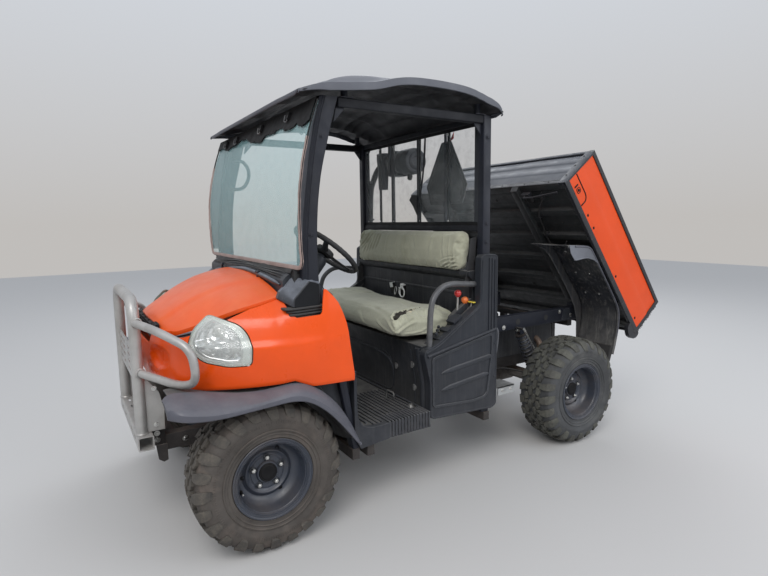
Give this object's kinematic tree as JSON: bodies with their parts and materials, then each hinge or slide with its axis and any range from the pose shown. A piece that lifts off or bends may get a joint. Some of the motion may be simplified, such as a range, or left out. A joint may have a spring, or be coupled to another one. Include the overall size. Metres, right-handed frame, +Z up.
{
  "type": "side by side utility vehicle",
  "caption": "Two-seat utility vehicle with roll frame, roof, windshield, bench seat, front guard and a tipping load bed, shown with the bed raised.",
  "frame": {"origin": "on the ground below the middle of the whole vehicle, bed raised", "axes": "-Y towards the front of the vehicle, +X towards its left side, +Z up"},
  "size_m": [1.52, 3.0825, 2.031],
  "materials": {
    "tyre": "dusty, knobby tread",
    "wheel_steel": "dark blue-grey paint with road film",
    "chassis_black": "dusty satin black paint",
    "cast_grey": "dusty casting",
    "exhaust_steel": "heat-stained steel",
    "cylinder_black": "satin black paint",
    "rod_chrome": "polished rod",
    "bed_black": "scuffed satin black paint",
    "body_orange": "sun-faded glossy orange",
    "black_plastic": "grained, dusty black",
    "khaki_canvas": "worn canvas cover",
    "tube_black": "satin dark paint",
    "roof_grey": "weathered dark grey plastic",
    "clear_glass": "clear, slightly tinted",
    "sign_grey": "weathered back of a plain plate",
    "lamp_glass": "clear lamp cover",
    "guard_silver": "weathered silver-grey paint"
  },
  "bodies": {
    "vehicle": {"front_suspension": "chassis_black", "chassis_rails": "chassis_black", "chassis_crossmembers": "chassis_black", "bed_support_rails": "chassis_black", "subframe_uprights": "chassis_black", "steering_column": "chassis_black", "levers_and_pedals": "chassis_black", "front_differential": "cast_grey", "rear_axle": "cast_grey", "engine_block": "cast_grey", "exhaust_muffler": "exhaust_steel", "nose_panel": "body_orange", "front_panels": "body_orange", "cab_floor": "black_plastic", "bench_base": "black_plastic", "cab_sides": "black_plastic", "backrest_panel": "black_plastic", "cowl": "black_plastic", "dashboard": "black_plastic", "grille": "black_plastic", "front_flares": "black_plastic", "air_cleaner": "black_plastic", "seat_cushion": "khaki_canvas", "backrest_cushion": "khaki_canvas", "grab_rails": "tube_black", "roll_frame_posts": "tube_black", "roll_frame_bars": "tube_black", "roof_canopy": "roof_grey", "windshield": "clear_glass", "rear_screen": "clear_glass", "warning_sign_plate": "sign_grey", "headlights": "lamp_glass", "front_guard": "guard_silver", "guard_side_loops": "guard_silver"},
    "left_knuckle": {"knuckle_left": "chassis_black"},
    "right_knuckle": {"knuckle_right": "chassis_black"},
    "front_left_wheel": {"tyre_front_left": "tyre", "wheel_front_left": "wheel_steel"},
    "front_right_wheel": {"tyre_front_right": "tyre", "wheel_front_right": "wheel_steel"},
    "rear_left_wheel": {"tyre_rear_left": "tyre", "wheel_rear_left": "wheel_steel"},
    "rear_right_wheel": {"tyre_rear_right": "tyre", "wheel_rear_right": "wheel_steel"},
    "tie_rod": {"tie_rod": "chassis_black"},
    "steering_wheel": {"steering_wheel": "black_plastic"},
    "hood": {"hood": "body_orange"},
    "bed": {"bed_floor": "bed_black", "bed_sides": "body_orange", "bed_front_panel": "bed_black", "bed_wheel_guards": "black_plastic"},
    "tailgate": {"tailgate": "bed_black"},
    "lift_barrel": {"lift_cylinder": "cylinder_black"},
    "lift_rod": {"lift_rod": "rod_chrome"}
  },
  "joints": [
    {"name": "steer_left", "type": "hinge", "parent": "vehicle", "child": "left_knuckle", "pos_m": [0.54, -1.0875, 0.3175], "axis": [0, 0, 1], "range_deg": [-25, 25]},
    {"name": "steer_right", "type": "hinge", "parent": "vehicle", "child": "right_knuckle", "pos_m": [-0.54, -1.0875, 0.3175], "axis": [0, 0, 1], "range_deg": [-25, 25]},
    {"name": "steering_wheel_turn", "type": "hinge", "parent": "vehicle", "child": "steering_wheel", "pos_m": [0.33, -0.6525, 1.215], "axis": [0, 0.6428, 0.766], "range_deg": [-400, 400]},
    {"name": "tie_rod_slide", "type": "slide", "parent": "vehicle", "child": "tie_rod", "axis": [1, 0, 0], "range_m": [-0.0298, 0.0298]},
    {"name": "front_left_spin", "type": "hinge", "parent": "left_knuckle", "child": "front_left_wheel", "pos_m": [0.585, -1.0875, 0.3175], "axis": [1, 0, 0], "continuous": true},
    {"name": "front_right_spin", "type": "hinge", "parent": "right_knuckle", "child": "front_right_wheel", "pos_m": [-0.585, -1.0875, 0.3175], "axis": [1, 0, 0], "continuous": true},
    {"name": "rear_left_spin", "type": "hinge", "parent": "vehicle", "child": "rear_left_wheel", "pos_m": [0.585, 0.8375, 0.3175], "axis": [1, 0, 0], "continuous": true},
    {"name": "rear_right_spin", "type": "hinge", "parent": "vehicle", "child": "rear_right_wheel", "pos_m": [-0.585, 0.8375, 0.3175], "axis": [1, 0, 0], "continuous": true},
    {"name": "hood_hinge", "type": "hinge", "parent": "vehicle", "child": "hood", "pos_m": [0, -0.9875, 1.128], "axis": [-1, 0, 0], "range_deg": [0, 50]},
    {"name": "bed_tilt", "type": "hinge", "parent": "vehicle", "child": "bed", "pos_m": [0, 1.1475, 0.772], "axis": [-1, 0, 0], "range_deg": [-52.5, 0]},
    {"name": "tailgate_hinge", "type": "hinge", "parent": "bed", "child": "tailgate", "pos_m": [0, 1.30746, 0.63881], "axis": [-1, 0, 0], "range_deg": [0, 90]},
    {"name": "lift_barrel_turn", "type": "hinge", "parent": "vehicle", "child": "lift_barrel", "pos_m": [-0.295, 1.0125, 0.46], "axis": [-1, 0, 0], "range_deg": [-23.32, 0]},
    {"name": "lift_rod_slide", "type": "slide", "parent": "lift_barrel", "child": "lift_rod", "axis": [0, -0.1012, 0.9949], "range_m": [-0.20357, 0]}
  ],
  "couplings": [
    {"joint": "steer_right", "follows": "steer_left", "ratio": 1},
    {"joint": "steering_wheel_turn", "follows": "steer_left", "ratio": 16},
    {"joint": "tie_rod_slide", "follows": "steer_left", "m_per_rad": -0.0677},
    {"joint": "lift_barrel_turn", "follows": "bed_tilt", "ratio": 0.43465},
    {"joint": "lift_rod_slide", "follows": "bed_tilt", "m_per_rad": 0.22107}
  ]
}
